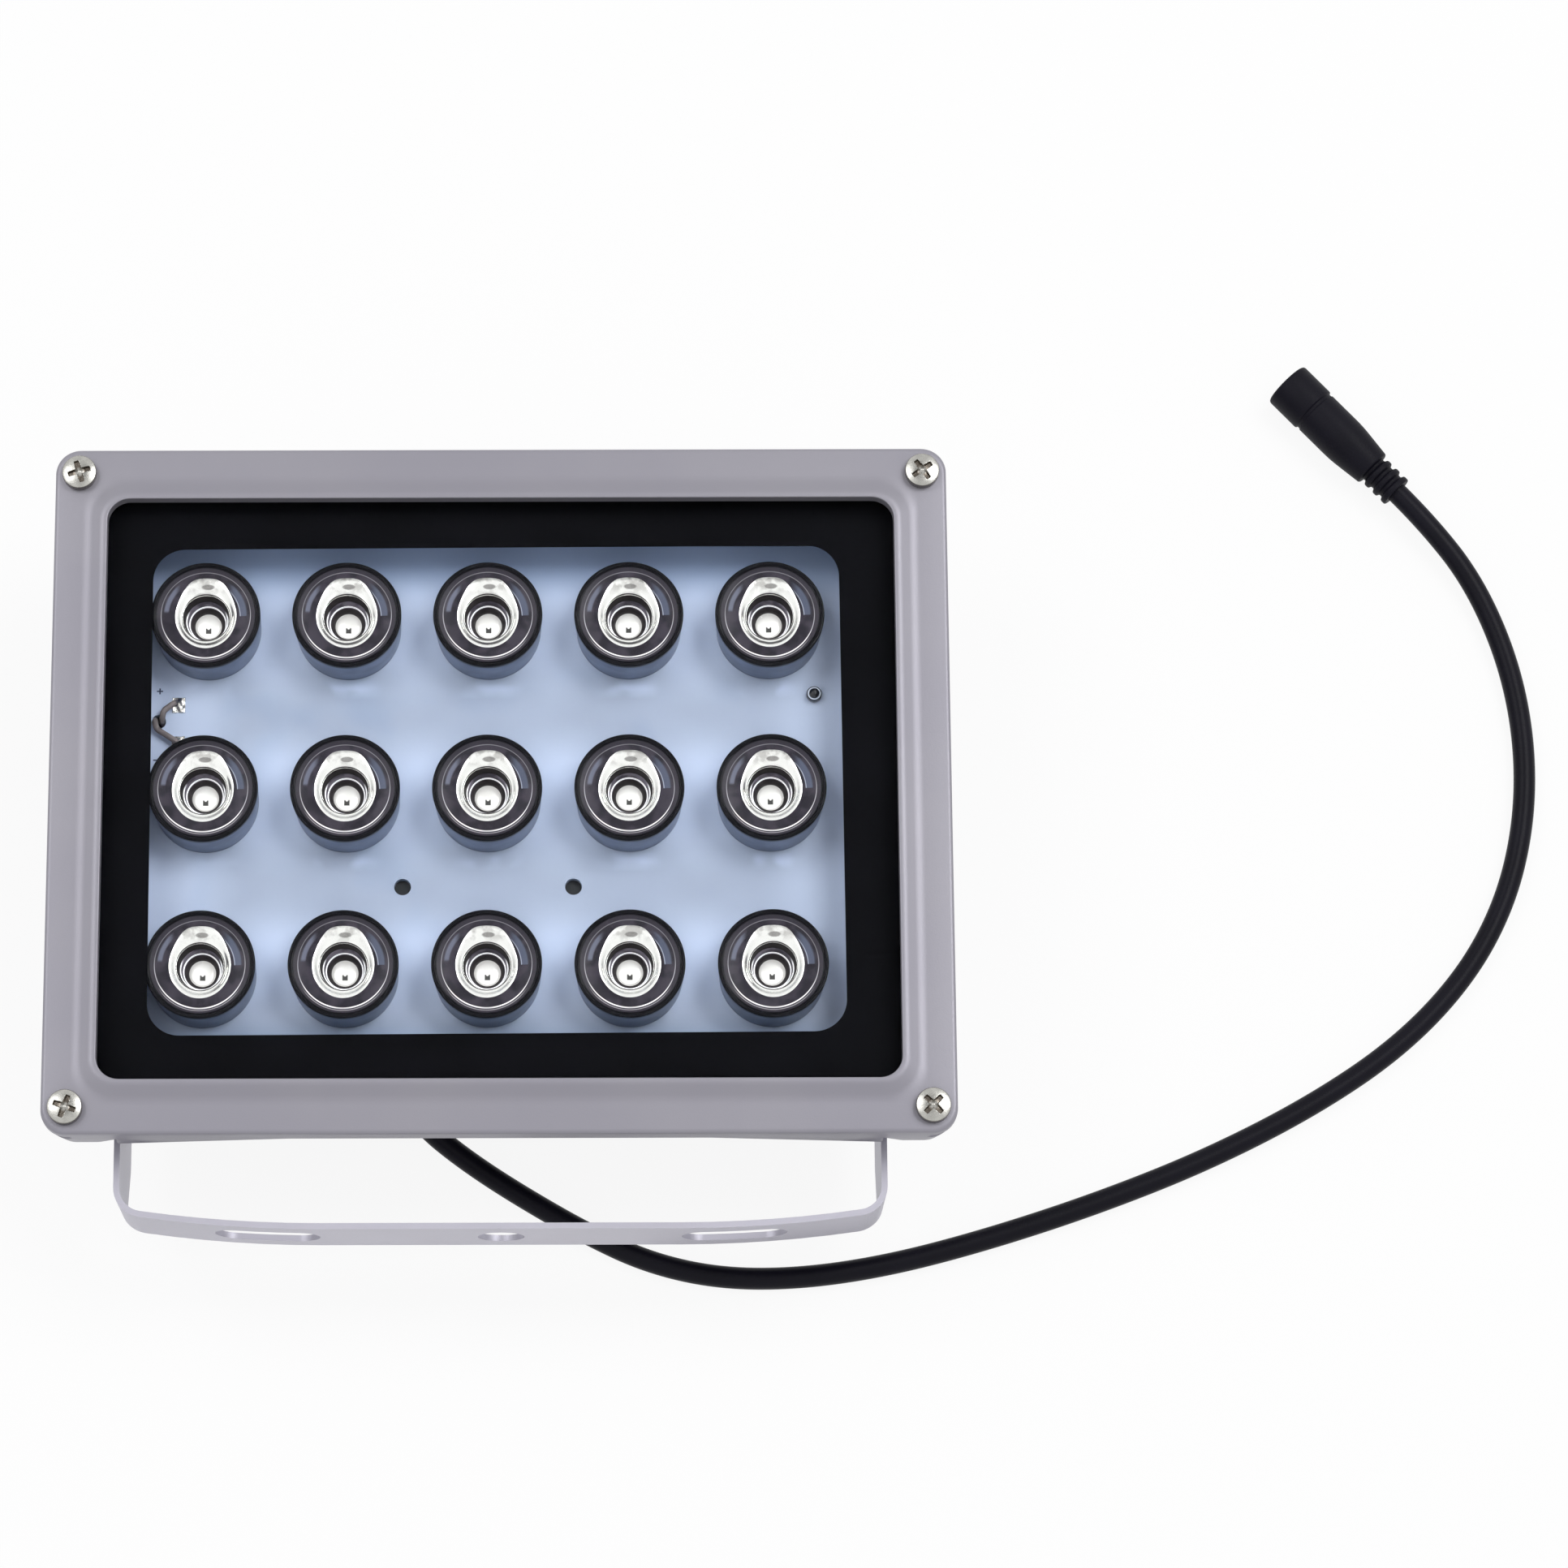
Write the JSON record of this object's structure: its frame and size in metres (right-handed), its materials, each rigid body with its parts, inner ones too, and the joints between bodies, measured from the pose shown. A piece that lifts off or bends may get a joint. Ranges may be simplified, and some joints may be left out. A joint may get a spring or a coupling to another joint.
{
  "type": "infrared illuminator",
  "caption": "Infrared floodlight panel for security cameras: lensed emitters behind glass, finned casting, swing bracket and lead with a barrel socket.",
  "frame": {"origin": "centre of the panel's plan, on the back face of the driver cover on which the lamp lies", "axes": "+X along the panel's long side, +Y towards its top edge, +Z out of the glass"},
  "size_m": [0.3052, 0.1968, 0.0557],
  "materials": {
    "silver_paint": "die-cast aluminium under smooth silver-grey enamel",
    "bracket_paint": "silver-grey powder coat",
    "nickel_steel": "bright nickel-plated steel",
    "zinc_steel": "zinc-plated steel",
    "clear_glass": "clear toughened glass",
    "black_print": "opaque black ceramic print",
    "black_silicone": "matt silicone",
    "board_mask": null,
    "sensor_black": "dark light cell",
    "solder": "bright tin",
    "wire_sleeve": "grey-brown vinyl sleeve",
    "driver_green": "green solder mask",
    "ferrite": "dark ferrite and copper",
    "capacitor_sleeve": "black sleeve",
    "black_nylon": "moulded nylon",
    "black_rubber": "soft rubber",
    "cord_black": "satin black vinyl",
    "connector_black": "satin black moulding",
    "nickel_contact": "nickel-plated contact",
    "white_nylon": "natural nylon",
    "lens_acrylic": "clear acrylic over a bright reflector",
    "emitter_resin": "clear resin dome on a pale base"
  },
  "bodies": {
    "housing": {"rear_housing": "silver_paint", "front_bezel": "silver_paint", "bezel_screws": "nickel_steel", "glass_pane": "clear_glass", "glass_border": "black_print", "glass_gasket": "black_silicone", "circuit_board": "board_mask", "light_sensor": "sensor_black", "solder_pads": "solder", "wire_positive": "wire_sleeve", "wire_negative": "wire_sleeve", "driver_board": "driver_green", "driver_screws": "zinc_steel", "inductor": "ferrite", "capacitor": "capacitor_sleeve", "compartment_cover": "silver_paint", "cover_gasket": "black_silicone", "cover_screws": "nickel_steel", "gland_body": "black_nylon", "gland_nut": "black_nylon", "gland_seal": "black_rubber", "power_cord": "cord_black", "dc_connector": "connector_black", "dc_sleeve": "nickel_contact", "dc_pin": "nickel_contact", "pivot_bolts": "zinc_steel", "flat_washers": "zinc_steel", "spring_washers": "zinc_steel", "friction_washers": "white_nylon", "lens_01": "lens_acrylic", "lens_02": "lens_acrylic", "lens_03": "lens_acrylic", "lens_04": "lens_acrylic", "lens_05": "lens_acrylic", "lens_06": "lens_acrylic", "lens_07": "lens_acrylic", "lens_08": "lens_acrylic", "lens_09": "lens_acrylic", "lens_10": "lens_acrylic", "lens_11": "lens_acrylic", "lens_12": "lens_acrylic", "lens_13": "lens_acrylic", "lens_14": "lens_acrylic", "lens_15": "lens_acrylic", "emitter_01": "emitter_resin", "emitter_02": "emitter_resin", "emitter_03": "emitter_resin", "emitter_04": "emitter_resin", "emitter_05": "emitter_resin", "emitter_06": "emitter_resin", "emitter_07": "emitter_resin", "emitter_08": "emitter_resin", "emitter_09": "emitter_resin", "emitter_10": "emitter_resin", "emitter_11": "emitter_resin", "emitter_12": "emitter_resin", "emitter_13": "emitter_resin", "emitter_14": "emitter_resin", "emitter_15": "emitter_resin"},
    "bracket": {"bracket": "bracket_paint"}
  },
  "joints": [
    {"name": "bracket_tilt", "type": "hinge", "parent": "housing", "child": "bracket", "pos_m": [0, 0, 0.0255], "axis": [1, 0, 0], "range_deg": [0, 180], "deforming": ["power_cord"]}
  ]
}
